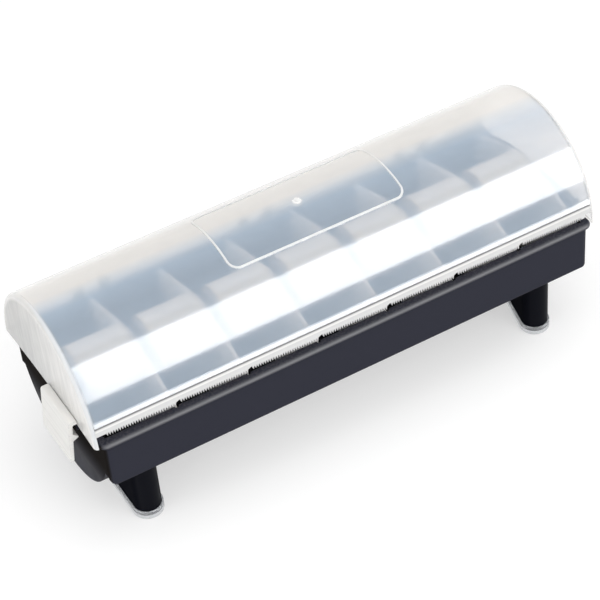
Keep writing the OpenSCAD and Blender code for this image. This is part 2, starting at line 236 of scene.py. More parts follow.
class DispenserColours(bpy.types.PropertyGroup):
    """Colours of the finishes, in scene linear values."""

    tray: FloatVectorProperty(
        name="Tray", description="Charcoal of the tray",
        default=(0.026, 0.027, 0.038, 1), size=4, subtype="COLOR")
    # painted shade: blacker colour of the legs, the belly and the tray's end faces
    tray_shade: FloatVectorProperty(
        name="Legs", description="Blacker skin of the tray's legs",
        default=(0.004, 0.0044, 0.0072, 1), size=4, subtype="COLOR")
    # painted shade: brown black of the upper outer end faces, under the lid
    tray_end_shade: FloatVectorProperty(
        name="Tray ends", description="Brown black of the tray's end faces",
        default=(0.0110, 0.0092, 0.0085, 1), size=4, subtype="COLOR")
    # painted highlight along the rim's outer edge
    rim_highlight: FloatVectorProperty(
        name="Rim edge", description="Polished edge of the tray's rim",
        default=(0.16, 0.16, 0.17, 1), size=4, subtype="COLOR")
    # rubbed edges, lightened further as painted edge highlights
    tray_wear_and_highlight: FloatVectorProperty(
        name="Tray edges", description="Rubbed edges of the tray",
        default=(0.085, 0.085, 0.09, 1), size=4, subtype="COLOR")
    lid_milk: FloatVectorProperty(
        name="Lid milk", description="Light scattered by the milky lid",
        default=(0.63, 0.785, 0.97, 1), size=4, subtype="COLOR")
    lid_slant: FloatVectorProperty(
        name="Lid haze", description="Whiter milk of the lid seen at a slant",
        default=(0.99, 0.985, 0.965, 1), size=4, subtype="COLOR")
    lid_clear: FloatVectorProperty(
        name="Lid clear", description="Tint of the light that passes the lid",
        default=(0.98, 0.85, 0.73, 1), size=4, subtype="COLOR")
    # painted shade: grey of the lid's end walls, strongest at the rear
    lid_wall_shade: FloatVectorProperty(
        name="Lid end walls", description="Greyer milk of the lid's end walls",
        default=(0.50, 0.51, 0.51, 1), size=4, subtype="COLOR")
    # painted highlights of the lid's arcs, outline, flare and edges, and the white of its gate mark
    lid_highlight_and_gate: FloatVectorProperty(
        name="Lid marks", description="White of the lid's arcs, outline and edges",
        default=(0.96, 0.96, 0.95, 1), size=4, subtype="COLOR")
    # painted shade: the tear strip's white is greyer than the latches' same plastic
    strip: FloatVectorProperty(
        name="Tear strip", description="White plastic of the tear strip",
        default=(0.66, 0.66, 0.66, 1), size=4, subtype="COLOR")
    latch: FloatVectorProperty(
        name="Latches", description="White plastic of the latches",
        default=(0.90, 0.89, 0.86, 1), size=4, subtype="COLOR")
    divider: FloatVectorProperty(
        name="Dividers", description="Pale plastic of the dividers",
        default=(0.88, 0.88, 0.88, 1), size=4, subtype="COLOR")
    pad: FloatVectorProperty(
        name="Foot pads", description="Grey soft plastic of the pads",
        default=(0.56, 0.57, 0.59, 1), size=4, subtype="COLOR")
    pad_clear: FloatVectorProperty(
        name="Pad depth", description="Tint of the light that passes the pads",
        default=(0.82, 0.84, 0.87, 1), size=4, subtype="COLOR")
    label: FloatVectorProperty(
        name="Labels", description="White face of the labels",
        default=(0.80, 0.79, 0.76, 1), size=4, subtype="COLOR")
    liner: FloatVectorProperty(
        name="Liner", description="Waxed liner between the labels",
        default=(0.70, 0.66, 0.55, 1), size=4, subtype="COLOR")
    card: FloatVectorProperty(
        name="Card", description="Brown card of the cores",
        default=(0.36, 0.24, 0.14, 1), size=4, subtype="COLOR")
    floor: FloatVectorProperty(
        name="Floor", description="Pale studio floor",
        default=(0.93, 0.93, 0.93, 1), size=4, subtype="COLOR")


class Finish:
    """Node tree of one material or world under construction."""

    def __init__(self, owner):
        self.owner = owner
        owner.use_nodes = True
        self.tree = owner.node_tree
        self.tree.nodes.clear()

    def add(self, kind, inputs=None, **settings):
        """Puts in a node, sets its options, and links or sets its inputs."""
        node = self.tree.nodes.new(kind)
        for option, value in settings.items():
            setattr(node, option, value)
        for socket, value in (inputs or {}).items():
            if isinstance(value, bpy.types.NodeSocket):
                self.tree.links.new(value, node.inputs[socket])
            else:
                node.inputs[socket].default_value = value
        return node

    def place(self, stretch=(1, 1, 1)):
        """Object coordinates, stretched along the axes."""
        at = self.add("ShaderNodeTexCoord").outputs["Object"]
        return self.add("ShaderNodeMapping", {"Vector": at, "Scale": stretch}).outputs[0]

    def parts(self, vector):
        """The three values of a vector."""
        return self.add("ShaderNodeSeparateXYZ", {0: vector}).outputs

    def length(self, vector):
        """Length of a vector."""
        return self.add("ShaderNodeVectorMath", {0: vector}, operation="LENGTH").outputs["Value"]

    def lengthwise(self):
        """How far the face's normal points along the object's X."""
        return self.parts(self.add("ShaderNodeTexCoord").outputs["Normal"])[0]

    def stored(self, name):
        """Number that the mesh stores at its points."""
        return self.add("ShaderNodeAttribute", attribute_name=name).outputs["Fac"]

    def seen(self):
        """1 for what is seen straight, by gloss or through glass, and 0 for what only gives light."""
        rays = self.add("ShaderNodeLightPath").outputs
        return self.most(rays["Is Camera Ray"], rays["Is Glossy Ray"], rays["Is Transmission Ray"])

    def noise(self, at, scale, detail=2.0, roughness=0.5):
        """Soft noise from 0 to 1; scale counts its blobs per metre."""
        sockets = {"Vector": at, "Scale": scale, "Detail": detail, "Roughness": roughness}
        return self.add("ShaderNodeTexNoise", sockets).outputs[0]

    def spread(self, value, low, high, start=0.0, end=1.0):
        """Carries a value from start..end over to low..high, kept within it."""
        sockets = {"Value": value, "From Min": start, "From Max": end, "To Min": low, "To Max": high}
        return self.add("ShaderNodeMapRange", sockets).outputs[0]

    def math(self, operation, a, b=0.0):
        """One sum of two values."""
        return self.add("ShaderNodeMath", {0: a, 1: b}, operation=operation).outputs[0]

    def times(self, first, *others):
        """Product of values."""
        for value in others:
            first = self.math("MULTIPLY", first, value)
        return first

    def most(self, first, *others):
        """Largest of some values."""
        for value in others:
            first = self.math("MAXIMUM", first, value)
        return first

    def blend(self, share, a, b):
        """Mix of two colours."""
        return self.add("ShaderNodeMix", {0: share, 6: a, 7: b}, data_type="RGBA").outputs[2]

    def bump(self, height, depth, strength=1.0, normal=None):
        """Normal of a height map whose 0..1 is depth metres."""
        sockets = {"Height": height, "Distance": depth, "Strength": strength}
        if normal is not None:
            sockets["Normal"] = normal
        return self.add("ShaderNodeBump", sockets).outputs[0]

    def shader(self, **sockets):
        """Principled shader; the sockets are named with _ for a space."""
        inputs = {name.replace("_", " "): value for name, value in sockets.items()}
        return self.add("ShaderNodeBsdfPrincipled", inputs).outputs[0]

    def translucent(self, **sockets):
        """Shader of a thin sheet that is lit from behind."""
        return self.add("ShaderNodeBsdfTranslucent", sockets).outputs[0]

    def mix(self, share, a, b):
        """Mix of two shaders."""
        return self.add("ShaderNodeMixShader", {0: share, 1: a, 2: b}).outputs[0]

    def done(self, surface, output="ShaderNodeOutputMaterial"):
        """Links the surface to the output and gives the material or world."""
        self.add(output, {"Surface": surface})
        return self.owner


def new_finish(name):
    """Node tree of a new material."""
    return Finish(bpy.data.materials.new(name))


def soft_normal(f, radius):
    """Normal that is bent round the edges as if they had this radius."""
    return f.add("ShaderNodeBevel", {"Radius": radius}, samples=4).outputs[0]


def edge_share(f, soft):
    """Share of an edge, for wear, painted edge highlights and painted edge shade: how far a soft normal
    turns away from the face's own normal.
    """
    own = f.add("ShaderNodeNewGeometry").outputs["Normal"]
    along = f.add("ShaderNodeVectorMath", {0: soft, 1: own}, operation="DOT_PRODUCT").outputs["Value"]
    return f.spread(along, 1.0, 0.0, start=0.72, end=0.985)


def end_share(f, lengthwise):
    """1 on faces that look along the object's X and 0 on the others."""
    return f.spread(f.math("ABSOLUTE", lengthwise), 0.0, 1.0, start=0.6, end=0.9)


def tray_finish(colours):
    """Charcoal moulded plastic: fine spark grain, flow marks, rubbed edges and a little dust on top.

    Painted shade makes the legs, the belly and the inner end faces blacker, and turns the outer end faces
    from charcoal to brown black upwards. A painted highlight runs along the rim's outer edge, and the rubbed
    edges carry painted highlights too.
    """
    f = new_finish("tray_plastic")
    at = f.place()
    along, across, height = f.parts(at)
    grain = f.noise(at, scale=5200, detail=3, roughness=0.6)
    mottle = f.noise(at, scale=2600, detail=2)
    speck = f.noise(at, scale=900, detail=5, roughness=0.7)
    flow = f.noise(f.place((0.25, 1, 1)), scale=60, detail=3)
    rub = f.noise(f.place((1, 5, 5)), scale=420, detail=4, roughness=0.65)

    end = end_share(f, f.lengthwise())
    # painted shade: the outer end faces turn from charcoal to brown black upwards, under the lid
    outer = f.times(end, f.math("GREATER_THAN", f.math("ABSOLUTE", along), LID_HALF - 0.01))
    low = f.spread(height, 1.0, 0.0, *END_FADE)
    # painted shade: below LEG_Z and on the end faces the skin takes the blacker shade colour
    apron = f.times(f.spread(height, 0.0, 1.0, start=LEG_Z - 0.002, end=LEG_Z), f.math("SUBTRACT", 1.0, end))
    skin = f.blend(apron, colours.tray_shade, colours.tray)
    skin = f.blend(outer, skin, f.blend(low, colours.tray_end_shade, colours.tray))

    up = f.parts(f.add("ShaderNodeNewGeometry").outputs["Normal"])[2]
    dust = f.times(f.spread(up, 0.0, 0.06, start=0.5), f.spread(speck, 0.0, 1.0, start=0.45, end=0.75))
    # rubbed wear on the edges, also a painted highlight along them
    edge = edge_share(f, soft_normal(f, radius=0.0005))
    wear_and_highlight = f.times(edge, f.spread(rub, 0.1, 1.0, start=0.4, end=0.65))
    colour = f.blend(wear_and_highlight, f.blend(dust, skin, colours.label), colours.tray_wear_and_highlight)

    # painted highlight: a light ridge along the rim's outer edge
    out = f.spread(f.math("ABSOLUTE", across), 0.0, 1.0, start=RIM_Y - 0.0026, end=RIM_Y - 0.0002)
    ridge = f.times(out, out, f.spread(height, 0.0, 1.0, start=RIM_Z - 0.0018, end=RIM_Z - 0.0006))
    colour = f.blend(ridge, colour, colours.rim_highlight)

    rough = f.math("ADD", f.spread(flow, 0.32, 0.44, start=0.3, end=0.7), f.times(mottle, 0.06))
    rough = f.most(rough, f.math("SUBTRACT", end, f.times(outer, low)))
    flowed = f.bump(flow, depth=0.00006, strength=0.25, normal=soft_normal(f, radius=0.0011))
    normal = f.bump(grain, depth=0.00002, strength=0.5, normal=flowed)
    return f.done(f.shader(Base_Color=colour, Roughness=rough, Specular_IOR_Level=0.03, Normal=normal))


def lid_highlights_and_gate(f, at, edge):
    """Share of white on the lid: painted highlights on its edges, raised outline, end arcs and flared foot,
    and its gate mark.
    """
    along, _, height = f.parts(at)
    axis = {0: f.place((0, 1, 1)), 1: (0, 0, AXIS_Z)}
    far = f.length(f.add("ShaderNodeVectorMath", axis, operation="SUBTRACT").outputs[0])
    proud = f.spread(far, 0.0, 1.0, start=LID_R + 0.00008, end=LID_R + 0.00025)
    raised = f.times(proud, f.math("LESS_THAN", far, LID_R + 0.001))
    on_top = f.math("GREATER_THAN", height, OUTLINE_Z)
    outline = f.times(raised, on_top)
    flare = f.math("SUBTRACT", raised, outline)

    reach = f.math("ABSOLUTE", along)
    near_end = f.spread(reach, 0.0, 1.0, start=LID_HALF - 0.0030, end=LID_HALF - 0.0016)
    arc = f.times(near_end, f.spread(far, 0.0, 1.0, start=LID_R - 0.0034, end=LID_R - 0.0018))

    fray = f.spread(f.noise(at, scale=700, detail=2), -0.0005, 0.0005, start=0.3, end=0.7)
    ragged = f.math("ADD", f.length(f.place((1, 1, 0))), fray)
    gate = f.times(f.spread(ragged, 1.0, 0.0, start=0.0018, end=0.0026), on_top)
    # painted highlights on the outline, edges, end arcs and flare; the gate mark is white
    strong = f.times(f.most(outline, gate), 0.9)
    return f.most(f.times(edge, 0.85), strong, f.times(arc, 0.8), f.times(flare, 0.5))


def lid_finish(colours):
    """Frosted natural plastic with a glossy skin.

    It scatters bluish light over the dark tray and lets warm light pass, and it is whiter where it is seen
    at a slant, on its painted highlights and on its gate mark. Outside, the end walls grey towards the rear
    as painted shade and are streaked; from inside they are nearly clear.
    """
    f = new_finish("lid_plastic")
    at = f.place()
    along, across = f.parts(at)[:2]
    cloud = f.noise(at, scale=45, detail=3, roughness=0.55)
    frost = f.noise(at, scale=3400, detail=2, roughness=0.6)
    rub = f.noise(f.place((1, 14, 14)), scale=260, detail=4, roughness=0.6)
    wave = f.noise(f.place((0.35, 1, 1)), scale=34, detail=2)
    streak = f.noise(f.place((1, 1, 0.12)), scale=420, detail=3, roughness=0.6)
    slant = f.add("ShaderNodeLayerWeight", {"Blend": 0.5}).outputs["Facing"]
    lengthwise = f.lengthwise()
    wall = end_share(f, lengthwise)
    inward = f.times(wall, f.math("LESS_THAN", f.times(lengthwise, along), 0.0))

    soft = soft_normal(f, radius=0.0006)
    waved = f.bump(wave, depth=0.00025, strength=0.25, normal=soft)
    gloss = {
        "Specular_IOR_Level": 0.0,
        "Coat_Weight": 1.0,
        "Coat_Roughness": 0.1,
        "Coat_IOR": 1.5,
        "Coat_Normal": f.bump(wave, depth=0.00008, strength=0.25, normal=soft),
        "Normal": f.bump(frost, depth=0.000012, strength=0.35, normal=waved),
    }

    # painted shade: the end walls grey towards the rear, with streaks
    shade = f.spread(across, 0.0, 0.85, start=-0.035, end=0.025)
    dim = f.math("ADD", shade, f.spread(streak, 0.0, 0.25, start=0.35, end=0.65))
    # mark holds the painted highlights and the white gate mark
    mark = lid_highlights_and_gate(f, at, edge_share(f, soft))
    tint = f.blend(f.spread(slant, 0.0, 1.0, start=0.28, end=0.46), colours.lid_milk, colours.lid_slant)
    tint = f.blend(f.times(wall, dim), tint, colours.lid_wall_shade)
    tint = f.blend(mark, tint, colours.lid_highlight_and_gate)
    milk = f.shader(Base_Color=tint, Roughness=0.5, **gloss)
    behind = f.spread(slant, 0.35, 0.1, start=0.5, end=0.9)
    milk = f.mix(behind, milk, f.translucent(Color=tint))

    passed = f.blend(inward, colours.lid_clear, WHITE)
    rough = f.math("ADD", f.spread(cloud, 0.15, 0.19, start=0.3, end=0.7), f.times(rub, 0.04))
    clear = f.shader(Base_Color=passed, Roughness=rough, IOR=1.15, Transmission_Weight=1.0, **gloss)

    share = f.most(f.spread(slant, 0.30, 0.92, start=0.15, end=0.95), mark)
    body = f.mix(f.times(share, f.spread(inward, 1.0, 0.06)), clear, milk)
    shadow = f.add("ShaderNodeLightPath").outputs["Is Shadow Ray"]
    cast = f.add("ShaderNodeBsdfTransparent", {"Color": LID_SHADE}).outputs[0]
    return f.done(f.mix(shadow, body, cast))


def white_finish(colours, name, base, streak, seam=None):
    """White natural plastic, a little translucent, with drawn streaks and grey edges.

    Its edges are greyed as painted shade. With a seam height it has a light line under the seam as a painted
    highlight, and painted shadow darkens it above the seam.
    """
    f = new_finish(name)
    at = f.place()
    drawn = f.noise(f.place(streak), scale=240, detail=4, roughness=0.6)
    cloud = f.noise(at, scale=160, detail=3)
    fine = f.noise(at, scale=4200, detail=2)
    soft = soft_normal(f, radius=0.0004)
    colour = f.blend(f.spread(drawn, 0.0, 0.30, start=0.40, end=0.70), base, STREAK_GREY)
    # painted shade: the edges turn grey
    colour = f.blend(f.times(edge_share(f, soft), 0.5), colour, EDGE_SHADE)
    if seam is not None:
        height = f.parts(at)[2]
        # painted highlight: a light line just under the seam
        under = f.math("ABSOLUTE", f.math("SUBTRACT", height, seam - 0.0007))
        colour = f.blend(f.spread(under, 0.8, 0.0, end=0.0006), colour, colours.latch)
        # painted shadow under the dome's flared foot, above the seam
        colour = f.blend(f.spread(height, 0.0, 0.8, start=seam, end=seam + 0.0003), colour, SEAM_SHADOW)
    streaked = f.bump(drawn, depth=0.00005, strength=0.35, normal=soft)
    normal = f.bump(fine, depth=0.00001, strength=0.4, normal=streaked)
    rough = f.spread(cloud, 0.30, 0.46, start=0.3, end=0.7)
    skin = f.shader(Base_Color=colour, Roughness=rough, Normal=normal)
    return f.done(f.mix(0.12, skin, f.translucent(Color=colour, Normal=normal)))


def divider_finish(colours):
    """Pale translucent sheet with a faint grain and scuffs from the rolls."""
    f = new_finish("divider_plastic")
    scuff = f.noise(f.place((1, 1, 7)), scale=180, detail=5, roughness=0.65)
    grain = f.noise(f.place(), scale=3600, detail=2)
    colour = f.blend(f.spread(scuff, 0.0, 0.35, start=0.45, end=0.75), colours.divider, SCUFF_GREY)
    normal = f.bump(grain, depth=0.000015, strength=0.4, normal=f.bump(scuff, depth=0.00004, strength=0.25))
    rough = f.spread(scuff, 0.36, 0.58, start=0.3, end=0.7)
    skin = f.shader(Base_Color=colour, Roughness=rough, Normal=normal)
    return f.done(f.mix(0.4, skin, f.translucent(Color=colour)))


def pad_finish(colours):
    """Grey soft plastic, mostly clear, darker and dusty towards the counter."""
    f = new_finish("pad_rubber")
    at = f.place()
    grime = f.noise(at, scale=520, detail=5, roughness=0.7)
    grain = f.noise(at, scale=2600, detail=3)
    near = f.spread(f.parts(at)[2], 1.0, 0.0, end=PAD_GRIME_Z)
    dusty = f.times(near, f.spread(grime, 0.1, 0.7, start=0.4, end=0.7))
    colour = f.blend(dusty, colours.pad, PAD_GRIME)
    normal = f.bump(grain, depth=0.00003, strength=0.5, normal=f.bump(grime, depth=0.00006, strength=0.4))
    rough = f.spread(grime, 0.42, 0.62, start=0.3, end=0.7)
    skin = f.shader(Base_Color=colour, Roughness=rough, Normal=normal)
    clear = f.shader(
        Base_Color=colours.pad_clear, Roughness=0.18, IOR=1.2, Transmission_Weight=1.0, Normal=normal)
    return f.done(f.mix(0.74, skin, clear))


def label_finish(colours):
    """Matt label paper on waxed liner; the wound edges show as fine rings on the roll's faces."""
    f = new_finish("label_paper")
    on_label = f.stored("label")
    side = f.stored("side")
    fibre = f.noise(f.place(), scale=2400, detail=4, roughness=0.65)
    winding = {"W": f.stored("wound"), "Scale": 9000.0, "Detail": 3.0}
    rings = f.add("ShaderNodeTexNoise", winding, noise_dimensions="1D").outputs[0]
    paper = f.blend(f.spread(fibre, 0.0, 0.2, start=0.4, end=0.7), colours.label, PAPER_FIBRE)
    tread = f.blend(on_label, colours.liner, paper)
    edges = f.blend(f.spread(rings, 0.0, 1.0, start=0.35, end=0.65), colours.liner, colours.label)
    colour = f.blend(side, tread, edges)
    rough = f.spread(on_label, 0.38, 0.62)
    height = f.math("ADD", f.times(fibre, 0.3), f.times(rings, side))
    normal = f.bump(height, depth=0.00006, strength=0.6)
    return f.done(f.shader(Base_Color=colour, Roughness=rough, Specular_IOR_Level=0.35, Normal=normal))


def card_finish(colours):
    """Brown card tube: long fibres, flecks and the seam of its spiral winding."""
    f = new_finish("core_card")
    fibre = f.noise(f.place((3, 1, 1)), scale=1500, detail=5, roughness=0.7)
    fleck = f.spread(f.noise(f.place(), scale=3600, detail=2), 0.0, 1.0, start=0.62, end=0.72)
    seam = f.spread(f.math("ABSOLUTE", f.math("SUBTRACT", f.stored("spiral"), 0.5)), 1.0, 0.0, end=0.02)
    colour = f.blend(f.spread(fibre, 0.0, 0.5, start=0.4, end=0.7), colours.card, CARD_FIBRE)
    colour = f.blend(f.times(fleck, 0.4), colour, CARD_FLECK)
    colour = f.blend(f.times(seam, 0.6), colour, CARD_SEAM)
    normal = f.bump(f.math("SUBTRACT", fibre, seam), depth=0.00008, strength=0.5)
    rough = f.spread(fibre, 0.6, 0.8)
    return f.done(f.shader(Base_Color=colour, Roughness=rough, Specular_IOR_Level=0.3, Normal=normal))


def floor_finish(colours):
    """Pale mottled floor that shines white where it is seen and gives back plain light elsewhere."""
    f = new_finish("studio_floor")
    mottle = f.noise(f.place(), scale=3, detail=2)
    seen = f.seen()
    pale = f.blend(f.spread(mottle, 0.0, 0.3, start=0.4, end=0.6), colours.floor, FLOOR_MOTTLE)
    pale = f.blend(seen, pale, WHITE)
    cloth = f.shader(Base_Color=pale, Roughness=0.9, Specular_IOR_Level=0.0)
    glow = f.add("ShaderNodeEmission", {"Strength": 1.0}).outputs[0]
    return f.done(f.mix(f.times(seen, 0.5), cloth, glow))


def grid_quads(rows, cols, close_rows=False, close_cols=True):
    """Quads of a grid of points, counted row by row; a closed side joins its last line to its first."""
    row = np.arange(rows if close_rows else rows - 1)[:, None]
    col = np.arange(cols if close_cols else cols - 1)[None, :]
    next_row = (row + 1) % rows
    next_col = (col + 1) % cols
    corners = [row * cols + col, row * cols + next_col, next_row * cols + next_col, next_row * cols + col]
    return np.stack(corners, -1).reshape(-1, 4)


def surface(name, points, quads, caps=(), merge=True, sharp=0.6):
    """Mesh object of a point grid.

    With merge its poles and seams are joined and its normals turned outwards. Edges that turn by more than
    sharp radians stay crisp.
    """
    mesh = bpy.data.meshes.new(name)
    faces = quads.tolist() + [cap.tolist() for cap in caps]
    mesh.from_pydata(points.reshape(-1, 3).tolist(), [], faces)
    if merge:
        shape = bmesh.new()
        shape.from_mesh(mesh)
        bmesh.ops.remove_doubles(shape, verts=shape.verts, dist=1e-7)
        bmesh.ops.recalc_face_normals(shape, faces=shape.faces)
        shape.to_mesh(mesh)
        shape.free()
    mesh.shade_smooth()
    mesh.set_sharp_from_angle(angle=sharp)
    piece = bpy.data.objects.new(name, mesh)
    bpy.context.scene.collection.objects.link(piece)
    return piece


def body_of(node):
    """Name of the body that a CAD node belongs to."""
    return NODES[node]["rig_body"]


def stand_for(piece, node, material):
    """Lets a piece take the place of a CAD node and material."""
    piece.data.materials.append(material)
    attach(piece, body_of(node))
    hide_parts(node)


def dress(node, material):
    """Gives a CAD node a material."""
    mesh = NODES[node].data
    mesh.materials.clear()
    mesh.materials.append(material)


def store(piece, name, values):
    """Stores one number for each point of a piece's mesh."""
    layer = piece.data.attributes.new(name, "FLOAT", "POINT")
    layer.data.foreach_set("value", values.astype(np.float32).ravel())


def turned(name, centre, x, r, a, sharp):
    """Closed profile turned about X: at the angle a it lies x, r cos a and r sin a from the centre."""
    sides = np.broadcast_arrays(centre[0] + x, centre[1] + r * np.cos(a), centre[2] + r * np.sin(a))
    points = np.stack(sides, -1)
    quads = grid_quads(*points.shape[:2], close_rows=True)[:, ::-1]
    return surface(name, points, quads, merge=False, sharp=sharp)


def wound_roll(name, low, high, bore, sizes, turn):
    """Label roll: a closed profile of radius and width turned about X.

    At the angle a the outer radius is R minus the winding step times a over a full turn, and a label stands
    up from the liner where the length along the liner, counted in label pitches, is within the label. On the
    two faces the turns slip sideways by a sum of sines of the radius, which fades out at the bore and at the
    tread.
    """
    half = (high[0] - low[0]) / 2
    radius = (high[2] - low[2]) / 2
    a = np.linspace(0, 2 * np.pi, sizes.turns, endpoint=False)[None, :]
    lap = a / (2 * np.pi)

    face = np.linspace(0, 1, FACE_RINGS)
    label_half = half - sizes.label_edge
    steps = np.array([half, label_half + LABEL_STEP, label_half])
    tread = np.sort(np.concatenate([-steps, steps, np.linspace(-0.9, 0.9, TREAD_ROWS) * half]))
    inside = np.linspace(half, -half, BORE_ROWS + 2)[1:-1]
    offset = np.concatenate([-half + 0 * face, tread, half + 0 * face, inside])[:, None]
    reach = np.concatenate([face, 1 + 0 * tread, face[::-1], 0 * inside])[:, None]
    inward = np.concatenate([1 + 0 * face, 0 * tread, -1 + 0 * face, 0 * inside])[:, None]
    on_tread = (inward == 0) & (reach == 1)

    pitch = sizes.label_len + sizes.label_gap
    along = ((a + turn) % (2 * np.pi)) * radius / pitch
    between = on_tread & (np.abs(offset) < label_half + LABEL_STEP / 2)
    on_label = between & (along % 1.0 < sizes.label_len / pitch)
    outer = radius - sizes.wind_step * lap - sizes.label_raise
    r = bore + (outer - bore) * reach + sizes.label_raise * on_label
    waves = 0.5 + 0.3 * np.sin(r * 2900 + 1.3 * turn) + 0.2 * np.sin(r * 7100 + 2.1 * turn)
    fade = np.clip((1 - reach) * 30, 0, 1) * np.clip(reach * 30, 0, 1)
    x = offset + inward * sizes.wind_slip * waves * fade
    piece = turned(name, (low + high) / 2, x, r, a + turn, sharp=0.5)
    store(piece, "label", on_label)
    store(piece, "side", np.broadcast_to((inward != 0) & (reach < 1), r.shape))
    store(piece, "wound", r + TURN_PITCH * lap)
    return piece


def card_tube(name, low, high, sizes):
    """Roll core: a closed profile of two radii with rounded rims turned about X.

    Its spiral mark counts the turns of the card, x over the pitch plus a over a full turn.
    """
    half = (high[0] - low[0]) / 2
    radius = (high[2] - low[2]) / 2
    bore = sizes.core_bore
    rim = FINE_ROUND
    bend = np.linspace(0, np.pi / 2, BEND_STEPS)
    level = -half + rim * (1 - np.cos(bend))
    outer = np.stack([radius - rim * (1 - np.sin(bend)), level], -1)
    inner = np.stack([bore + rim * (1 - np.sin(bend)), level], -1)
    run = np.linspace(2 * rim - half, half - 2 * rim, TUBE_ROWS)
    mirror = np.array([1, -1])
    outside = [outer, np.stack([radius + 0 * run, run], -1), outer[::-1] * mirror]
    inside = [inner * mirror, np.stack([bore + 0 * run, -run], -1), inner[::-1]]
    profile = np.concatenate(outside + inside)
    a = np.linspace(0, 2 * np.pi, TUBE_POINTS, endpoint=False)[None, :]
    x = profile[:, 1:]
    piece = turned(name, (low + high) / 2, x, profile[:, :1], a, sharp=0.7)
    store(piece, "spiral", (x / SPIRAL_PITCH + a / (2 * np.pi)) % 1.0)
    return piece


def rounded(corners, radii, steps=6):
    """Closed outline with its corners rounded.

    Each corner becomes a quadratic curve between its two tangent points, whose middle point is the corner.
    """
    back = np.roll(corners, 1, 0) - corners
    on = np.roll(corners, -1, 0) - corners
    back_len = np.linalg.norm(back, axis=1, keepdims=True)
    on_len = np.linalg.norm(on, axis=1, keepdims=True)
    cut = np.minimum(radii[:, None], 0.45 * np.minimum(back_len, on_len))
    start = (corners + back / back_len * cut)[:, None]
    end = (corners + on / on_len * cut)[:, None]
    t = np.linspace(0, 1, steps)[None, :, None]
    curve = (1 - t) ** 2 * start + 2 * t * (1 - t) * corners[:, None] + t**2 * end
    return curve.reshape(-1, 2)


def latch_plate(name, low, high, side, sizes):
    """Latch: a filleted profile of X and Z carried straight along Y between two flat ends.

    The profile runs round the shelf, the flared plate and the barb. Each of its corners is given as X, Z and
    a share of the fillet. It is drawn for the right end, and side -1 mirrors it for the left one.
    """
    root = low[0] if side > 0 else -high[0]
    foot_x = high[0] if side > 0 else -low[0]
    wall = sizes.latch_wall
    top_x = root + sizes.latch_reach
    top = high[2]
    shelf = top - wall
    foot = low[2]

    def inner(drop):
        """X of the plate's inner face at a drop below the shelf."""
        return top_x - wall + (foot_x - top_x) * drop / (shelf - foot)

    barb = shelf - sizes.barb_drop
    barb_top = barb + sizes.barb_height
    tip = root + sizes.barb_in
    corners = np.array([
        [root, shelf, 0.15],
        [root, top, 0.15],
        [top_x, top, 1.6],
        [foot_x, foot, 0.8],
        [inner(shelf - foot), foot, 0.8],
        [inner(sizes.barb_drop), barb, 0.6],
        [tip, barb + sizes.barb_height / 3, 0.5],
        [tip, barb + sizes.barb_height / 2, 0.5],
        [inner(shelf - barb_top), barb_top, 0.6],
        [inner(0), shelf, 1.0],
    ])
    outline = rounded(corners[:, :2], corners[:, 2] * sizes.latch_fillet)
    rows = np.linspace(low[1], high[1], LATCH_ROWS)[:, None]
    points = np.stack(np.broadcast_arrays(side * outline[None, :, 0], rows, outline[None, :, 1]), -1)
    ring = np.arange(len(outline))
    caps = [ring, (LATCH_ROWS - 1) * len(outline) + ring]
    piece = surface(name, points, grid_quads(LATCH_ROWS, len(outline)), caps=caps, sharp=0.5)
    bevel = piece.modifiers.new("round_ends", "BEVEL")
    bevel.width = sizes.latch_edge
    bevel.segments = 3
    bevel.limit_method = "ANGLE"
    bevel.angle_limit = 1.0
    return piece


def foot_boot(name, low, high, side, end, sizes):
    """Foot pad: rings of a drop-shaped plan, from the underside up the wall and down into the boot.

    With the normal at the angle a, the plan's point is the centre plus the radius along the normal of
    whichever end circle reaches further that way. The rings grow from the middle and are set in along the
    round edges; each pair below holds their insets and levels. The pad is drawn for the rear right leg, and
    side or end -1 mirrors it.
    """
    wide = sizes.pad_front
    narrow = sizes.pad_rear
    wide_x = (high[0] if side > 0 else -low[0]) - wide
    wide_y = (high[1] if end > 0 else -low[1]) - wide
    narrow_y = (low[1] if end > 0 else -high[1]) + narrow
    centres = np.array([[wide_x, wide_y], [wide_x + wide - narrow, narrow_y]])
    radii = np.array([wide, narrow])
    a = np.linspace(0, 2 * np.pi, BOOT_POINTS, endpoint=False)
    normal = np.stack([np.cos(a), np.sin(a)], -1)
    pick = np.argmax(normal @ centres.T + radii, axis=1)

    under = low[2]
    top = high[2]
    floor = under + sizes.pad_floor
    edge = sizes.pad_edge
    wall = sizes.pad_wall
    lip = FINE_ROUND
    bend = np.linspace(0, np.pi / 2, BEND_STEPS)
    half_way = bend[1:-1]
    grow = np.array([0, 0.5, 0.85])
    corner = 0.0004
    rise = 0.0005
    rings = [
        (edge + 0 * grow, under + 0 * grow),
        (edge * (1 - np.sin(bend)), under + edge * (1 - np.cos(bend))),
        (lip * (1 - np.cos(bend)), top - lip * (1 - np.sin(bend))),
        ([wall - lip], [top]),
        (wall - lip * (1 - np.sin(half_way)), top - lip * (1 - np.cos(half_way))),
        ([wall, wall], [top - lip, floor + rise]),
        ([wall + corner / 2, wall + corner], [floor + corner / 2, floor]),
        (wall + corner + 0 * grow, floor + 0 * grow),
    ]
    inset = np.concatenate([ring[0] for ring in rings])[:, None]
    level = np.concatenate([ring[1] for ring in rings])[:, None]
    full = np.ones(len(inset) - 2 * len(grow))
    share = np.concatenate([grow, full, grow[::-1]])[:, None, None]
    plan = centres[pick] + (radii[pick] - inset)[..., None] * normal
    middle = centres.mean(0)
    flat = middle + share * (plan - middle)
    points = np.stack(np.broadcast_arrays(side * flat[..., 0], end * flat[..., 1], level), -1)
    return surface(name, points, grid_quads(*points.shape[:2]), sharp=0.9)


